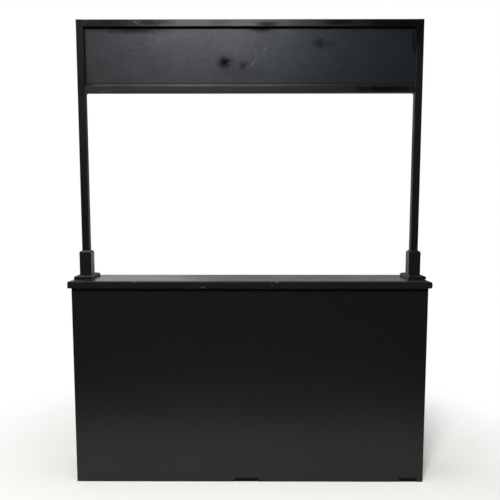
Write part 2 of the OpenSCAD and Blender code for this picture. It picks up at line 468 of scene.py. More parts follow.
def buildEdgeWear():
    group, given, made = newGroup("edgeWear", [
        ("Place", vector, None), ("Width", number, 0.003), ("Amount", number, 0.5)],
        [("Wear", number), ("Edge", number), ("Arris", number), ("Round", vector)])
    rounded = addNode(group, "ShaderNodeBevel", samples=6)
    feed(group, given["Width"], rounded.inputs["Radius"])
    straight = addNode(group, "ShaderNodeNewGeometry").outputs["Normal"]
    turn = vecCalc(group, "DOT_PRODUCT", rounded.outputs[0], straight, "Value")
    edge = fadeBetween(group, turn, *wearMix["edge"])
    broken = speckle(group, given["Place"], wearMix["brokenScale"], detail=5.0, rough=0.65)
    broken = fadeBetween(group, broken, *wearMix["broken"])
    feed(group, product(group, edge, broken, given["Amount"]), made["Wear"])
    feed(group, edge, made["Edge"])
    flat = most(group, *axes(group, vecCalc(group, "ABSOLUTE", rounded.outputs[0], (0, 0, 0))))
    feed(group, fadeBetween(group, flat, *wearMix["arris"]), made["Arris"])
    feed(group, rounded.outputs[0], made["Round"])
    return group


# a dull patch in the gloss, with a ragged outline
spotMix = {"raggedScale": 46.0, "ragged": 1.3, "outline": (1.35, 0.05)}


def buildDullSpot():
    group, given, made = newGroup("dullSpot", [
        ("Place", vector, None), ("Centre", vector, (0, 0, 0)), ("Stretch", vector, (1, 1, 1)),
        ("Radius", number, 0.02), ("Amount", number, 1.0)], [("Mask", number)])
    offset = vecCalc(group, "SUBTRACT", given["Place"], given["Centre"])
    offset = vecCalc(group, "MULTIPLY", offset, given["Stretch"])
    away = vecCalc(group, "LENGTH", offset, (0, 0, 0), "Value")
    reach = calc(group, "DIVIDE", away, given["Radius"])
    ragged = speckle(group, given["Place"], spotMix["raggedScale"], detail=4.0, rough=0.62)
    ragged = calc(group, "SUBTRACT", ragged, 0.5)
    reach = calc(group, "ADD", reach, product(group, ragged, spotMix["ragged"]))
    mask = fadeBetween(group, reach, *spotMix["outline"])
    feed(group, product(group, mask, given["Amount"]), made["Mask"])
    return group


# a fine broken scratch from one point to another
scratchMix = {
    "wobbleScale": 60.0,
    "wobble": 0.002,            # m
    "line": (1.3, 0.3),
    "brokenScale": 140.0,
    "broken": (0.35, 0.55),
}


def buildScratchLine():
    group, given, made = newGroup("scratchLine", [
        ("Place", vector, None), ("Start", vector, (0, 0, 0)), ("End", vector, (0, 0, 0.1)),
        ("Width", number, 0.001)], [("Mask", number)])
    along = vecCalc(group, "SUBTRACT", given["End"], given["Start"])
    offset = vecCalc(group, "SUBTRACT", given["Place"], given["Start"])
    span = vecCalc(group, "DOT_PRODUCT", along, along, "Value")
    share = calc(group, "DIVIDE", vecCalc(group, "DOT_PRODUCT", offset, along, "Value"), span, clamp=True)
    gap = vecCalc(group, "DISTANCE", offset, scaleTone(group, along, share), "Value")
    wobble = speckle(group, given["Place"], scratchMix["wobbleScale"], detail=2.0)
    wobble = product(group, calc(group, "SUBTRACT", wobble, 0.5), scratchMix["wobble"])
    gap = calc(group, "ADD", gap, wobble)
    gap = calc(group, "DIVIDE", calc(group, "ABSOLUTE", gap), given["Width"])
    mask = fadeBetween(group, gap, *scratchMix["line"])
    broken = speckle(group, given["Place"], scratchMix["brokenScale"], rough=0.6)
    broken = fadeBetween(group, broken, *scratchMix["broken"])
    feed(group, product(group, mask, broken), made["Mask"])
    return group


rollerCoat = buildRollerCoat()
brushedGrain = buildBrushedGrain()
dustFilm = buildDustFilm()
edgeWear = buildEdgeWear()
dullSpot = buildDullSpot()
scratchLine = buildScratchLine()
print("stall: finish groups built")


# the black paint that every outside face carries
blackPaint = {
    "tone": (0.0050, 0.0050, 0.0050, 1),
    "dustTone": (0.16, 0.15, 0.135, 1),
    "bareTone": (0.10, 0.085, 0.068, 1),        # rubbed through to primer and wood
    "scuffTone": (0.045, 0.044, 0.042, 1),
    "scratchTone": (0.11, 0.11, 0.115, 1),
    # dark tone of grease on the dull smudges, and of the painted shade in strips, corners and where a
    # reflection fades
    "greaseAndShadeTone": (0.0016, 0.0019, 0.0025, 1),
    "dullRough": 0.85,                          # where the gloss is gone
    "plainShine": 0.15,                         # reflection of the paint under its coat
}


def startPaint(name):
    skin = bpy.data.materials.new(name)
    skin.use_nodes = True
    tree = skin.node_tree
    tree.nodes.clear()
    place = addNode(tree, "ShaderNodeTexCoord").outputs["Object"]
    paint = addNode(tree, "ShaderNodeBsdfPrincipled")
    paint.inputs["Specular IOR Level"].default_value = blackPaint["plainShine"]
    out = addNode(tree, "ShaderNodeOutputMaterial")
    tree.links.new(paint.outputs[0], out.inputs["Surface"])
    return skin, tree, place, paint


def raiseFace(tree, height, distance, paint, facing=None):
    bump = addNode(tree, "ShaderNodeBump")
    bump.inputs["Distance"].default_value = distance
    feed(tree, height, bump.inputs["Height"])
    if facing:
        tree.links.new(facing, bump.inputs["Normal"])
    tree.links.new(bump.outputs[0], paint.inputs["Normal"])


# edges and dust, as a finish's own dictionary says
def rubEdges(tree, place, look):
    return placeGroup(tree, edgeWear, Place=place, Width=look["edgeBand"], Amount=look["wear"])


def settleDust(tree, place, look):
    return placeGroup(tree, dustFilm, Place=place, Stretch=look.get("dustStretch", (1, 1, 1)),
                      Amount=look["dust"], Patch_Size=look["dustPatch"])["Dust"]


# masks of the dull patches and of the pale scratches on a face that looks forward
def dullMarks(tree, place, depth, spots, thin=20):
    masks = [placeGroup(tree, dullSpot, Place=place, Centre=(x, depth, z), Stretch=(stretch, thin, 1),
                        Radius=radius, Amount=amount)["Mask"]
             for x, z, radius, stretch, amount in spots]
    return most(tree, *masks)


def paleMarks(tree, place, faceDepth, marks):
    masks = [placeGroup(tree, scratchLine, Place=place, Start=(x0, faceDepth, z0), End=(x1, faceDepth, z1),
                        Width=marks["scratchWidth"])["Mask"]
             for x0, z0, x1, z1 in marks["scratches"]]
    return most(tree, *masks)


# sheet of the front and ends
sheetPaint = {
    "mottleScale": 105.0,
    "rough": (0.38, 0.48),
    "tones": ((0.0036, 0.0036, 0.0036, 1), (0.0068, 0.0068, 0.0067, 1)),
    "coat": (0.47, 0.33),
    "coatRough": 0.26,
    "stipple": 0.00006,             # m
    "wear": 0.2,
    "dust": 0.5,
    "dustPatch": 0.08,              # m
    "scuffHeight": 0.16,            # m above the floor
    "scuff": 0.3,
    "scuffScale": 16.0,
    "scuffDrag": (1.0, 1.0, 5.0),
    "scuffArea": (0.58, 0.78),
    "edgeBand": 0.010,              # m
    "dullEdge": 0.85,               # how much of the gloss an edge loses
    # painted shadow under the counter top, darker and dull
    "paintedShadeStrip": (0.013, 0.026),   # m under the counter top: full, and gone
    # scratches and flecks on the front: from x, z to x, z
    "scratches": [(-0.312, 0.085, -0.298, 0.081), (0.010, 0.741, 0.011, 0.739),
                  (0.0615, 0.644, 0.062, 0.642), (-0.7645, 0.947, -0.7635, 0.946)],
    "scratchWidth": 0.0027,
    "scratchPale": 0.85,           # how pale they are
}


def makeSheetPaint():
    skin, tree, place, paint = startPaint("sheetPaint")
    height = axes(tree, place)[2]
    coat = placeGroup(tree, rollerCoat, Place=place, Mottle_Scale=sheetPaint["mottleScale"])
    rubbed = rubEdges(tree, place, sheetPaint)
    dust = settleDust(tree, place, sheetPaint)
    pale = paleMarks(tree, place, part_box("front_panel")[0][1], sheetPaint)
    low = fadeBetween(tree, height, sheetPaint["scuffHeight"], 0.0)
    drag = vecCalc(tree, "MULTIPLY", place, sheetPaint["scuffDrag"])
    scuff = speckle(tree, drag, sheetPaint["scuffScale"], detail=5.0, rough=0.62)
    scuff = product(tree, fadeBetween(tree, scuff, *sheetPaint["scuffArea"]), low, sheetPaint["scuff"])
    marked = most(tree, scuff, product(tree, pale, sheetPaint["scratchPale"]))
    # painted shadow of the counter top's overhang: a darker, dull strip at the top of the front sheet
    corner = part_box("front_panel")[1][2]
    shadeFull, shadeGone = sheetPaint["paintedShadeStrip"]
    paintedShade = fadeBetween(tree, height, corner - shadeGone, corner - shadeFull)
    tone = blendTone(tree, coat["Mottle"], *sheetPaint["tones"])
    tone = layTones(tree, tone, (marked, blackPaint["scuffTone"]), (rubbed["Wear"], blackPaint["bareTone"]),
                    (dust, blackPaint["dustTone"]), (paintedShade, blackPaint["greaseAndShadeTone"]))
    feed(tree, tone, paint.inputs["Base Color"])
    rough = blendValue(tree, coat["Sheen"], *sheetPaint["rough"])
    feed(tree, blendValue(tree, paintedShade, rough, blackPaint["dullRough"]), paint.inputs["Roughness"])
    gloss = blendValue(tree, coat["Sheen"], *sheetPaint["coat"])
    dullEdge = product(tree, rubbed["Edge"], sheetPaint["dullEdge"])
    feed(tree, without(tree, gloss, most(tree, marked, dust, dullEdge, paintedShade)), paint.inputs["Coat Weight"])
    paint.inputs["Coat Roughness"].default_value = sheetPaint["coatRough"]
    raiseFace(tree, coat["Height"], sheetPaint["stipple"], paint)
    return skin


# sheet of the header, rolled along its length, with the marks that the photograph shows
headerPaint = {
    "tone": (0.0031, 0.0046, 0.0054, 1),
    "rough": (0.46, 0.56),
    "coat": (1.0, 0.6),
    "coatRough": 0.29,
    "laneAxis": (0, 0, 1),
    "laneWidth": 0.11,              # m
    "mottleScale": 55.0,
    "drag": (0.09, 1, 1),
    "dragSize": 0.016,              # m
    "rollSheen": 0.48,              # shares of roller and brush in the sheen
    "dragSheen": 0.52,
    "stipple": 0.00006,             # m
    "streak": 0.00010,
    "relief": 0.001,                # m, height that both are counted in
    "edgeBand": 0.002,              # m
    "wear": 0.3,
    "dust": 0.6,
    "dustPatch": 0.08,              # m
    # dull patches: x, z, radius, squeeze of the outline along x, amount. Most are dull smudges; the two just
    # under the top rail and the tall narrow one beside the right post are painted shade
    "spots": [(-0.127, 2.133, 0.038, 0.85, 1.0), (-0.035, 2.118, 0.027, 0.9, 0.66),
              (0.351, 2.227, 0.028, 0.75, 0.62), (0.402, 2.222, 0.022, 0.5, 0.4),
              (0.055, 2.294, 0.018, 0.28, 0.75), (-0.590, 2.289, 0.019, 0.11, 0.7),
              (0.829, 2.235, 0.085, 9.0, 0.85), (-0.055, 2.084, 0.042, 0.27, 0.26)],
    # painted shade in the corner above the lower rail: a darker, dull strip, and how strong it is
    "paintedShadeStrip": (0.003, 0.011),   # m above the lower rail: full, and gone
    "paintedShade": 0.55,
    # scratches: from x, z to x, z
    "scratches": [(0.071, 2.204, 0.082, 2.198), (-0.104, 2.131, -0.098, 2.123),
                  (0.004, 2.112, 0.030, 2.143)],
    "scratchWidth": 0.0019,
}


def makeHeaderPaint():
    skin, tree, place, paint = startPaint("headerPaint")
    coat = placeGroup(tree, rollerCoat, Place=place, Lane_Axis=headerPaint["laneAxis"],
                      Lane_Width=headerPaint["laneWidth"], Mottle_Scale=headerPaint["mottleScale"])
    drag = placeGroup(tree, brushedGrain, Place=place, Stretch=headerPaint["drag"],
                      Stroke_Size=headerPaint["dragSize"])
    wear = rubEdges(tree, place, headerPaint)["Wear"]
    dust = settleDust(tree, place, headerPaint)
    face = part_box("header_panel")[0][1]
    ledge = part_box("header_bottom_rail")[1][2]
    # painted shade: darker and dull in the corner just above the lower rail
    shadeFull, shadeGone = headerPaint["paintedShadeStrip"]
    paintedShade = fadeBetween(tree, axes(tree, place)[2], ledge + shadeGone, ledge + shadeFull)
    paintedShade = product(tree, paintedShade, headerPaint["paintedShade"])
    # dull smudges together with the painted shade
    dull = most(tree, dullMarks(tree, place, face, headerPaint["spots"]), paintedShade)
    pale = paleMarks(tree, place, face, headerPaint)
    tone = layTones(tree, headerPaint["tone"], (dull, blackPaint["greaseAndShadeTone"]),
                    (pale, blackPaint["scratchTone"]), (wear, blackPaint["bareTone"]),
                    (dust, blackPaint["dustTone"]))
    feed(tree, tone, paint.inputs["Base Color"])
    sheen = weigh(tree, coat["Sheen"], headerPaint["rollSheen"], drag["Sheen"], headerPaint["dragSheen"])
    rough = blendValue(tree, sheen, *headerPaint["rough"])
    feed(tree, blendValue(tree, dull, rough, blackPaint["dullRough"]), paint.inputs["Roughness"])
    gloss = blendValue(tree, sheen, *headerPaint["coat"])
    feed(tree, without(tree, gloss, most(tree, dull, dust)), paint.inputs["Coat Weight"])
    paint.inputs["Coat Roughness"].default_value = headerPaint["coatRough"]
    relief = headerPaint["relief"]
    height = weigh(tree, coat["Height"], headerPaint["stipple"] / relief,
                   drag["Height"], headerPaint["streak"] / relief)
    raiseFace(tree, height, relief, paint)
    return skin


# timbers: the way the brush went, sheen and how deep the strokes are
timberPaints = {
    "railPaint": {
        "tone": (0.0036, 0.0040, 0.0048, 1),
        "greyerTone": (0.0082, 0.0086, 0.0094, 1),     # greyer low down, on the lower rail
        "greyerFrom": (0.034, 0.024),              # m above the header's underside: gone, and full
        "stretch": (0.05, 1, 1),
        "rough": (0.36, 0.48),
        "coat": (0.80, 0.62),
        "arrisCoat": 0.7,                           # coat on the edges
        "coatRough": 0.23,
        "plainShine": 0.05,
        "stroke": 0.00010,                          # m
        "wear": 0.25,
    },
    "postPaint": {
        "tone": (0.0028, 0.0031, 0.0040, 1),
        "greyerTone": (0.0064, 0.0064, 0.0070, 1),
        "greyerFrom": (0.03, -0.06),
        "greyerRight": (0.0, 0.1),                 # m along x: the whole right post is greyer
        "stretch": (1, 1, 0.05),
        "rough": (0.36, 0.48),
        "coat": (0.33, 0.25),
        "arrisCoat": 1.0,
        "coatRough": 0.22,
        "plainShine": 0.05,
        "stroke": 0.00012,
        "wear": 0.3,
    },
    "sleevePaint": {
        "tone": (0.0066, 0.0065, 0.0076, 1),
        "stretch": (1, 1, 0.05),
        "rough": (0.34, 0.46),
        "coat": (0.62, 0.42),
        "arrisCoat": 0.4,
        "coatRough": 0.2,
        "plainShine": 0.15,
        "stroke": 0.00012,
        "wear": 0.3,
    },
    "flangePaint": {
        "tone": (0.0046, 0.0046, 0.0056, 1),
        "stretch": (1, 0.05, 1),
        "rough": (0.34, 0.46),
        "coat": (0.35, 0.2),
        "arrisCoat": 0.35,
        "coatRough": 0.2,
        "plainShine": 0.15,
        "stroke": 0.00010,
        "wear": 0.3,
    },
}
# what all four have alike, in m but for the dust's amount
timberWear = {"edgeBand": 0.004, "dust": 0.015, "dustPatch": 0.05}
# marks on the header's rails: the dull, darker spots are painted shade where the rails' reflection fades;
# the scratches are real
railMarks = {
    "spots": [(-0.695, 2.321, 0.050, 0.22, 0.74), (-0.495, 2.321, 0.026, 0.22, 0.76),
              (0.74, 2.321, 0.050, 0.22, 1.0), (0.45, 2.322, 0.018, 0.18, 0.9),
              (0.090, 2.313, 0.016, 0.25, 0.80), (-0.145, 2.320, 0.020, 0.25, 0.3),
              (0.68, 1.998, 0.024, 0.13, 1.0)],
    # on the lower rail's bevel, painted shade where its highlight fades
    "bevelSpots": [(-0.70, 2.017, 0.012, 0.036, 0.6), (0.76, 2.017, 0.012, 0.036, 0.9)],
    "bevelDepth": 0.006,
    "bevelThin": 1,
    "scratches": [(-0.584, 2.329, -0.566, 2.317), (-0.566, 2.317, -0.549, 2.328),
                  (-0.758, 1.987, -0.742, 1.985), (-0.728, 1.986, -0.716, 1.989),
                  (-0.706, 1.986, -0.699, 1.985)],
    "scratchWidth": 0.0015,
}
# the right post is dull and darker at its top: painted shade where its reflection fades
postMarks = {
    "spots": [(0.8565, 2.300, 0.130, 0.6, 0.95)],
}


def makeTimberPaint(name, marks=None):
    look = {**timberWear, **timberPaints[name]}
    skin, tree, place, paint = startPaint(name)
    paint.inputs["Specular IOR Level"].default_value = look["plainShine"]
    brush = placeGroup(tree, brushedGrain, Place=place, Stretch=look["stretch"])
    rubbed = rubEdges(tree, place, look)
    dust = settleDust(tree, place, look)
    tone = look["tone"]
    if "greyerTone" in look:
        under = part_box("header_bottom_rail")[0][2]
        side, _, height = axes(tree, place)
        gone, full = look["greyerFrom"]
        reach = fadeBetween(tree, height, under + gone, under + full)
        if "greyerRight" in look:
            reach = most(tree, reach, fadeBetween(tree, side, *look["greyerRight"]))
        tone = blendTone(tree, reach, tone, look["greyerTone"])
    hidden = dust
    if marks:
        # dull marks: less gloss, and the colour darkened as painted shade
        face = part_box("header_top_rail")[0][1]
        dull = dullMarks(tree, place, face, marks["spots"])
        tone = blendTone(tree, dull, tone, blackPaint["greaseAndShadeTone"])
        if "bevelSpots" in marks:
            bevel = face + marks["bevelDepth"]
            onBevel = dullMarks(tree, place, bevel, marks["bevelSpots"], marks["bevelThin"])
            dull = most(tree, dull, onBevel)
        if "scratches" in marks:
            pale = paleMarks(tree, place, face, marks)
            tone = blendTone(tree, pale, tone, blackPaint["scratchTone"])
        hidden = most(tree, dust, dull)
    tone = layTones(tree, tone, (rubbed["Wear"], blackPaint["bareTone"]), (dust, blackPaint["dustTone"]))
    feed(tree, tone, paint.inputs["Base Color"])
    rough = blendValue(tree, brush["Sheen"], *look["rough"])
    feed(tree, blendValue(tree, hidden, rough, blackPaint["dullRough"]), paint.inputs["Roughness"])
    gloss = blendValue(tree, brush["Sheen"], *look["coat"])
    gloss = blendValue(tree, rubbed["Arris"], gloss, look["arrisCoat"])
    feed(tree, without(tree, gloss, hidden), paint.inputs["Coat Weight"])
    paint.inputs["Coat Roughness"].default_value = look["coatRough"]
    raiseFace(tree, brush["Height"], look["stroke"], paint, rubbed["Round"])
    return skin


# counter top: the glossiest face, wiped along its length, with a few chips on the front edge
topPaint = {
    "tone": (0.0076, 0.0077, 0.0084, 1),
    "chipTone": (0.15, 0.15, 0.155, 1),
    "rough": (0.28, 0.40),
    "coat": (1.0, 0.8),
    "coatRough": 0.12,
    "stretch": (0.04, 1, 1),
    "strokeSize": 0.006,            # m
    "stroke": 0.00005,              # m
    "edgeBand": 0.005,              # m
    "wear": 0.4,
    "dust": 0.06,
    "dustStretch": (0.12, 1, 1),
    "dustPatch": 0.05,              # m
    "dullEdge": 0.9,
    "rubbedStrip": (0.012, 0.036),  # m from the front edge: full, and gone
    # how far up a face looks, where the underside, the upper side and the round edge start and are full
    "underside": (-0.05, -0.45),
    "upperSide": (0.05, 0.35),
    "roundEdge": (0.99, 0.9),
    # chips: x, z, radius, depth of colour
    "chips": [(-0.571, 1.034, 0.004, 0.5), (-0.231, 1.006, 0.0042, 0.5), (0.109, 1.018, 0.003, 0.4),
              (0.134, 1.0345, 0.004, 0.9)],
    "chipStretch": (0.4, 0.5, 1),
}


def makeTopPaint():
    skin, tree, place, paint = startPaint("topPaint")
    brush = placeGroup(tree, brushedGrain, Place=place, Stretch=topPaint["stretch"],
                       Stroke_Size=topPaint["strokeSize"])
    wear = rubEdges(tree, place, topPaint)["Wear"]
    dust = settleDust(tree, place, topPaint)
    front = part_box("counter_top")[0][1]
    chips = [placeGroup(tree, dullSpot, Place=place, Centre=(x, front, z), Stretch=topPaint["chipStretch"],
                        Radius=radius, Amount=amount)["Mask"] for x, z, radius, amount in topPaint["chips"]]
    chipped = most(tree, *chips)
    # the underside got no gloss coat, and the upper edge is rubbed dull
    facing = axes(tree, addNode(tree, "ShaderNodeNewGeometry").outputs["Normal"])[2]
    under = fadeBetween(tree, facing, *topPaint["underside"])
    upper = fadeBetween(tree, facing, *topPaint["upperSide"])
    arris = product(tree, upper, fadeBetween(tree, facing, *topPaint["roundEdge"]))
    rubbedFull, rubbedGone = topPaint["rubbedStrip"]
    strip = fadeBetween(tree, axes(tree, place)[1], front + rubbedGone, front + rubbedFull)
    strip = product(tree, strip, upper)
    arris = product(tree, most(tree, arris, strip), topPaint["dullEdge"])
    tone = layTones(tree, topPaint["tone"], (dust, blackPaint["dustTone"]), (wear, blackPaint["bareTone"]),
                    (chipped, topPaint["chipTone"]))
    feed(tree, tone, paint.inputs["Base Color"])
    rough = blendValue(tree, brush["Sheen"], *topPaint["rough"])
    feed(tree, blendValue(tree, arris, rough, blackPaint["dullRough"]), paint.inputs["Roughness"])
    gloss = blendValue(tree, brush["Sheen"], *topPaint["coat"])
    feed(tree, without(tree, gloss, most(tree, dust, chipped, under, arris)), paint.inputs["Coat Weight"])
    paint.inputs["Coat Roughness"].default_value = topPaint["coatRough"]
    raiseFace(tree, brush["Height"], topPaint["stroke"], paint)
    return skin


# frame inside the counter: one thin coat, the grain shows through
innerTimbers = {
    "innerLong": (0.05, 1, 1),
    "innerShort": (1, 0.05, 1),
    "innerUpright": (1, 1, 0.05),
}
innerCoat = {
    "woodTone": (0.055, 0.042, 0.030, 1),
    "coatTone": (0.012, 0.0118, 0.0115, 1),
    "grainShows": (0.5, 0.75, 0.0, 0.55),
    "rough": (0.5, 0.68),
    "strokeSize": 0.0035,       # m
    "stroke": 0.0002,           # m
    "edgeBand": 0.003,          # m
    "wear": 0.5,
    "dust": 0.55,
    "dustPatch": 0.06,          # m
}


def makeInnerTimber(name):
    skin, tree, place, paint = startPaint(name)
    brush = placeGroup(tree, brushedGrain, Place=place, Stretch=innerTimbers[name],
                       Stroke_Size=innerCoat["strokeSize"])
    wear = rubEdges(tree, place, innerCoat)["Wear"]
    dust = settleDust(tree, place, innerCoat)
    thin = fadeBetween(tree, brush["Grain"], *innerCoat["grainShows"])
    tone = layTones(tree, innerCoat["coatTone"], (thin, innerCoat["woodTone"]),
                    (wear, blackPaint["bareTone"]), (dust, blackPaint["dustTone"]))
    feed(tree, tone, paint.inputs["Base Color"])
    feed(tree, blendValue(tree, brush["Sheen"], *innerCoat["rough"]), paint.inputs["Roughness"])
    raiseFace(tree, brush["Height"], innerCoat["stroke"], paint)
    return skin


# rubber of the foot pads: matte, pitted, greyed with floor dust near the ground
padRubber = {
    "tone": (0.0050, 0.0054, 0.0070, 1),
    "rough": (0.68, 0.82),
    "plainShine": 0.04,
    "pitScale": 700.0,
    "pits": 0.00008,            # m
    "patchScale": 60.0,
    "dustHeight": 0.012,        # m
    "dustArea": (0.5, 0.8),
    "dust": 0.06,
}


def makePadRubber():
    skin, tree, place, paint = startPaint("padRubber")
    paint.inputs["Specular IOR Level"].default_value = padRubber["plainShine"]
    pits = speckle(tree, place, padRubber["pitScale"], rough=0.6)
    patches = speckle(tree, place, padRubber["patchScale"], detail=4.0, rough=0.6)
    low = fadeBetween(tree, axes(tree, place)[2], padRubber["dustHeight"], 0.0)
    dusty = product(tree, low, fadeBetween(tree, patches, *padRubber["dustArea"]), padRubber["dust"])
    feed(tree, blendTone(tree, dusty, padRubber["tone"], blackPaint["dustTone"]), paint.inputs["Base Color"])
    feed(tree, blendValue(tree, patches, *padRubber["rough"]), paint.inputs["Roughness"])
    raiseFace(tree, pits, padRubber["pits"], paint)
    return skin


# heads of pins and screws: painted over, the paint broken here and there
headPaint = {
    "steelTone": (0.20, 0.19, 0.18, 1),
    "rustTone": (0.060, 0.026, 0.012, 1),
    "rough": (0.38, 0.85),      # painted, and rusty
    "metal": 0.8,
    "coat": 0.4,
    "coatRough": 0.25,
    "edgeBand": 0.0012,         # m
    "wear": 0.8,
    "fleckScale": 320.0,
    "fleckArea": (0.5, 0.62),
    "flecks": 0.00006,          # m
    "rustScale": 23.0,
    "rustArea": (0.5, 0.66),
    "rust": 0.7,
}


def makeHeadPaint():
    skin, tree, place, paint = startPaint("headPaint")
    wear = rubEdges(tree, place, headPaint)["Wear"]
    flecks = speckle(tree, place, headPaint["fleckScale"], rough=0.6)
    rustArea = speckle(tree, place, headPaint["rustScale"], rough=0.6)
    rusty = product(tree, fadeBetween(tree, rustArea, *headPaint["rustArea"]),
                    fadeBetween(tree, flecks, *headPaint["fleckArea"]), headPaint["rust"])
    tone = layTones(tree, blackPaint["tone"], (wear, headPaint["steelTone"]), (rusty, headPaint["rustTone"]))
    feed(tree, tone, paint.inputs["Base Color"])
    feed(tree, product(tree, wear, headPaint["metal"]), paint.inputs["Metallic"])
    feed(tree, blendValue(tree, rusty, *headPaint["rough"]), paint.inputs["Roughness"])
    feed(tree, without(tree, headPaint["coat"], most(tree, rusty, wear)), paint.inputs["Coat Weight"])
    paint.inputs["Coat Roughness"].default_value = headPaint["coatRough"]
    raiseFace(tree, flecks, headPaint["flecks"], paint)
    return skin


sheetSkin = makeSheetPaint()
headerSkin = makeHeaderPaint()
topSkin = makeTopPaint()
railSkin = makeTimberPaint("railPaint", railMarks)
postSkin = makeTimberPaint("postPaint", postMarks)
sleeveSkin = makeTimberPaint("sleevePaint")
flangeSkin = makeTimberPaint("flangePaint")
innerSkins = {name: makeInnerTimber(name) for name in innerTimbers}
padSkin = makePadRubber()
headSkin = makeHeadPaint()


# which finish each node takes
def finishOf(name):
    if name == "header_panel":
        return headerSkin
    if name == "counter_top":
        return topSkin
    if name.endswith("_pad"):
        return padSkin
    if name.endswith("_panel"):
        return sheetSkin
    if name.startswith("header_"):
        return railSkin
    if name.endswith("_flange"):
        return flangeSkin
    if "_sleeve_" in name:
        return sleeveSkin
    if name.endswith("_post"):
        return postSkin
    if name.endswith("_batten") or name.endswith("_stud"):
        return innerSkins["innerUpright"]
    if name.startswith("left_") or name.startswith("right_"):
        return innerSkins["innerShort"]
    return innerSkins["innerLong"]


# a painted edge is never quite sharp
softEdge = {
    "width": 0.0006,            # m
    "segments": 2,
    "fromAngle": 40,            # degrees
    "joinWithin": 0.00001,      # m
}


def easeEdges(piece):
    weld = piece.modifiers.new("joinFacets", "WELD")
    weld.merge_threshold = softEdge["joinWithin"]
    soften = piece.modifiers.new("softEdge", "BEVEL")
    soften.width = softEdge["width"]
    soften.segments = softEdge["segments"]
    soften.limit_method = "ANGLE"
    soften.angle_limit = math.radians(softEdge["fromAngle"])
    soften.harden_normals = True


for nodeName, node in stallNodes.items():
    for slot in node.material_slots:
        slot.material = finishOf(nodeName)
    # the counter top's own edges are round already
    if nodeName != "counter_top":
        easeEdges(node)
print("stall: finishes on")


# small pieces: one mesh for each kind, laid on the faces that the frame gives
def keepPiece(name, mesh, skin):
    bmesh.ops.recalc_face_normals(mesh, faces=mesh.faces)
    data = bpy.data.meshes.new(name)
    mesh.to_mesh(data)
    mesh.free()
    data.materials.append(skin)
    piece = bpy.data.objects.new(name, data)
    scene.collection.objects.link(piece)
    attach(piece, "root")


# middle of a box along one axis, and its face on one side
def midway(box, axis):
    return (box[0][axis] + box[1][axis]) / 2


def outerFace(box, axis, outward):
    return box[0][axis] if outward < 0 else box[1][axis]


def frameAt(place, facing):
    turn = Vector(facing).to_track_quat("Z", "Y").to_matrix().to_4x4()
    return Matrix.Translation(Vector(place)) @ turn


def addRing(mesh, seat, radius, lift, sides):
    corners = []
    for step in range(sides):
        angle = 2 * math.pi * step / sides
        corner = Vector((radius * math.cos(angle), radius * math.sin(angle), lift))
        corners.append(mesh.verts.new(seat @ corner))
    return corners


def joinRings(mesh, lower, upper):
    sides = len(lower)
    for step in range(sides):
        after = (step + 1) % sides
        mesh.faces.new((lower[step], lower[after], upper[after], upper[step]))


# panel pins: small domed heads, just proud of the sheet under the paint
panelPins = {
    "radius": 0.0026,
    "rise": 0.0007,
    "sunk": 0.0004,
    "dome": [(1.0, 0.25), (0.82, 0.7), (0.45, 1.0)],    # shares of radius and rise
    "sides": 12,
    "spacing": 0.165,           # m, up the battens and the stud
    "rowSpacing": 0.28,         # m, along the rails
    "rowEnd": 0.14,             # m, from the end of the sheet to the first pin of a row
    "inset": 0.009,             # m, from the outer edge of a batten
    "besideStud": 0.008,        # m, from the middle of the stud
    "underRail": 0.008,         # m, below the top of the bottom rail
}


def addPin(mesh, place, facing, radius):
    seat = frameAt(place, facing)
    sides = panelPins["sides"]
    rings = [addRing(mesh, seat, radius, -panelPins["sunk"], sides)]
    for share, lift in panelPins["dome"]:
        rings.append(addRing(mesh, seat, radius * share, panelPins["rise"] * lift, sides))
    for lower, upper in zip(rings, rings[1:]):
        joinRings(mesh, lower, upper)
    mesh.faces.new(rings[0][::-1])
    mesh.faces.new(rings[-1])


def spread(low, high, spacing):
    count = max(1, round((high - low) / spacing))
    return [low + (high - low) * step / count for step in range(count + 1)]


def nailFront():
    mesh = bmesh.new()
    low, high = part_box("front_panel")
    face = low[1]
    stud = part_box("centre_stud")
    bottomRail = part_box("front_bottom_rail")
    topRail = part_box("front_top_rail")
    heights = spread(bottomRail[1][2], topRail[0][2], panelPins["spacing"])
    inset = high[0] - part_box("front_right_batten")[1][0] + panelPins["inset"]
    for x in (low[0] + inset, midway(stud, 0) + panelPins["besideStud"], high[0] - inset):
        for z in heights:
            addPin(mesh, (x, face, z), (0, -1, 0), panelPins["radius"])
    rowEnd = panelPins["rowEnd"]
    for x in spread(low[0] + rowEnd, high[0] - rowEnd, panelPins["rowSpacing"]):
        for z in (bottomRail[1][2] - panelPins["underRail"], midway(topRail, 2)):
            addPin(mesh, (x, face, z), (0, -1, 0), panelPins["radius"])
    keepPiece("frontPins", mesh, headSkin)


def nailEnds():
    mesh = bmesh.new()
    for sideName, outward in (("left", -1), ("right", 1)):
        low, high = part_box(sideName + "_side_panel")
        face = outerFace((low, high), 0, outward)
        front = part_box("front_%s_batten" % sideName)
        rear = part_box("rear_%s_batten" % sideName)
        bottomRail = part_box(sideName + "_bottom_rail")
        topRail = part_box(sideName + "_top_rail")
        for y in (midway(front, 1), midway(rear, 1)):
            for z in spread(bottomRail[1][2], topRail[0][2], panelPins["spacing"]):
                addPin(mesh, (face, y, z), (outward, 0, 0), panelPins["radius"])
        for rail in (bottomRail, topRail):
            place = (face, midway((low, high), 1), midway(rail, 2))
            addPin(mesh, place, (outward, 0, 0), panelPins["radius"])
    keepPiece("endPins", mesh, headSkin)


# two smaller pins near each edge of the sleeves' front and back boards
sleevePins = {"radius": 0.0015, "edge": 0.007, "heights": (0.028, 0.092)}


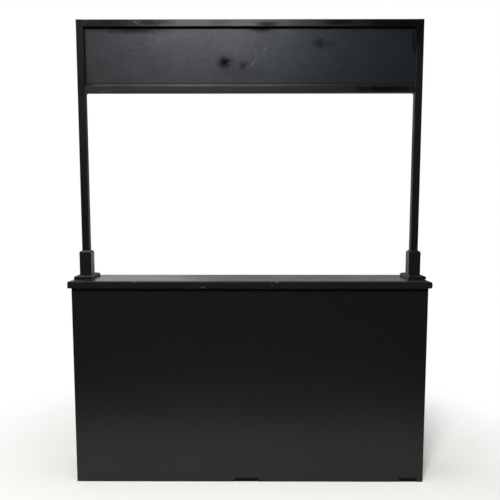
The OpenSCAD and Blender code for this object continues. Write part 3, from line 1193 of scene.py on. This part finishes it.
def nailSleeves():
    mesh = bmesh.new()
    for sideName in ("left", "right"):
        for boardName, outward in (("front", -1), ("back", 1)):
            low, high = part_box("%s_sleeve_%s" % (sideName, boardName))
            face = outerFace((low, high), 1, outward)
            for x in (low[0] + sleevePins["edge"], high[0] - sleevePins["edge"]):
                for lift in sleevePins["heights"]:
                    addPin(mesh, (x, face, low[2] + lift), (0, outward, 0), sleevePins["radius"])
    keepPiece("sleevePins", mesh, headSkin)


nailFront()
nailEnds()
nailSleeves()
print("stall: pins in")


# countersunk screws with a cross recess
crossScrews = {
    "radius": 0.0042,
    "rim": 0.93,                # share of the radius
    "sunk": 0.0008,
    "rise": 0.00025,
    "shoulder": 0.4,            # share of the rise
    "sides": 24,
    "crossHalf": 0.0024,
    "crossWidth": 0.0005,       # half the width of a slot
    "crossDeep": 0.0007,
    "crossFloor": 0.9,          # share of the cross at its floor
    "turn": 2.4,                # radians from one screw to the next
}


def addScrew(mesh, place, facing, turn):
    seat = frameAt(place, facing) @ Matrix.Rotation(turn, 4, "Z")
    half, slim, top = crossScrews["crossHalf"], crossScrews["crossWidth"], crossScrews["rise"]
    radius, sides = crossScrews["radius"], crossScrews["sides"]
    base = addRing(mesh, seat, radius, -crossScrews["sunk"], sides)
    shoulder = addRing(mesh, seat, radius, top * crossScrews["shoulder"], sides)
    rim = addRing(mesh, seat, radius * crossScrews["rim"], top, sides)
    joinRings(mesh, base, shoulder)
    joinRings(mesh, shoulder, rim)
    mesh.faces.new(base[::-1])
    outline = [(half, -slim), (half, slim), (slim, slim), (slim, half), (-slim, half), (-slim, slim),
               (-half, slim), (-half, -slim), (-slim, -slim), (-slim, -half), (slim, -half), (slim, -slim)]
    mouth = [mesh.verts.new(seat @ Vector((x, y, top))) for x, y in outline]
    taper, deep = crossScrews["crossFloor"], top - crossScrews["crossDeep"]
    floor = [mesh.verts.new(seat @ Vector((x * taper, y * taper, deep))) for x, y in outline]
    joinRings(mesh, mouth, floor)
    mesh.faces.new(floor)
    edges = []
    for loop in (rim, mouth):
        for step, corner in enumerate(loop):
            edges.append(mesh.edges.get((corner, loop[(step + 1) % len(loop)])))
    bmesh.ops.triangle_fill(mesh, edges=edges, use_beauty=True, normal=Vector(facing))


# places that the screws hold, a different turn of the driver for each
def driveScrews(name, places):
    mesh = bmesh.new()
    for count, (place, facing) in enumerate(places):
        addScrew(mesh, place, facing, count * crossScrews["turn"])
    keepPiece(name, mesh, headSkin)


# two at each joint, through the posts into the ends of the rails
headerScrews = {"apart": 0.018}


def screwHeader():
    places = []
    for postName, outward in (("left_post", -1), ("right_post", 1)):
        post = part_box(postName)
        face = outerFace(post, 0, outward)
        for railName in ("header_top_rail", "header_bottom_rail"):
            centre = midway(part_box(railName), 2)
            for lift in (-headerScrews["apart"] / 2, headerScrews["apart"] / 2):
                places.append(((face, midway(post, 1), centre + lift), (outward, 0, 0)))
    driveScrews("headerScrews", places)


# four in each flange plate, before and behind the sleeve
flangeScrews = {"apart": 0.042, "edge": 0.025}


def screwFlanges():
    places = []
    for sideName in ("left", "right"):
        low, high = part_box(sideName + "_post_flange")
        middle = midway((low, high), 0)
        for x in (middle - flangeScrews["apart"] / 2, middle + flangeScrews["apart"] / 2):
            for y in (low[1] + flangeScrews["edge"], high[1] - flangeScrews["edge"]):
                places.append(((x, y, high[2]), (0, 0, 1)))
    driveScrews("flangeScrews", places)


# two at each joint, through the rear battens into the ends of the short rails
frameScrews = {"apart": 0.018}


def screwFrame():
    places = []
    for railName in ("rear_top_rail", "rear_bottom_rail"):
        middle = midway(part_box(railName), 2)
        for sideName in ("left", "right"):
            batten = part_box("rear_%s_batten" % sideName)
            for lift in (-frameScrews["apart"] / 2, frameScrews["apart"] / 2):
                places.append(((midway(batten, 0), batten[1][1], middle + lift), (0, 1, 0)))
    driveScrews("frameScrews", places)


screwHeader()
screwFlanges()
screwFrame()
print("stall: screws in")


# filler wiped into the two corners under the header
cornerFiller = {"radius": 0.0068, "steps": 8, "setBack": 0.001, "bury": 0.0005}


def fillCorners():
    mesh = bmesh.new()
    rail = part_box("header_bottom_rail")
    radius, bury, steps = cornerFiller["radius"], cornerFiller["bury"], cornerFiller["steps"]
    under = rail[0][2]
    front, back = rail[0][1] + cornerFiller["setBack"], rail[1][1] - cornerFiller["setBack"]
    for corner, inward in ((rail[0][0], 1), (rail[1][0], -1)):
        outline = [(corner - inward * bury, under + bury), (corner - inward * bury, under - radius)]
        for step in range(steps + 1):
            angle = math.pi / 2 * step / steps
            along = corner + inward * radius * (1 - math.cos(angle))
            outline.append((along, under - radius * (1 - math.sin(angle))))
        outline.append((corner + inward * radius, under + bury))
        near = [mesh.verts.new((x, front, z)) for x, z in outline]
        far = [mesh.verts.new((x, back, z)) for x, z in outline]
        joinRings(mesh, near, far)
        mesh.faces.new(near)
        mesh.faces.new(far[::-1])
    keepPiece("cornerFiller", mesh, postSkin)


fillCorners()
print("stall: corners filled")
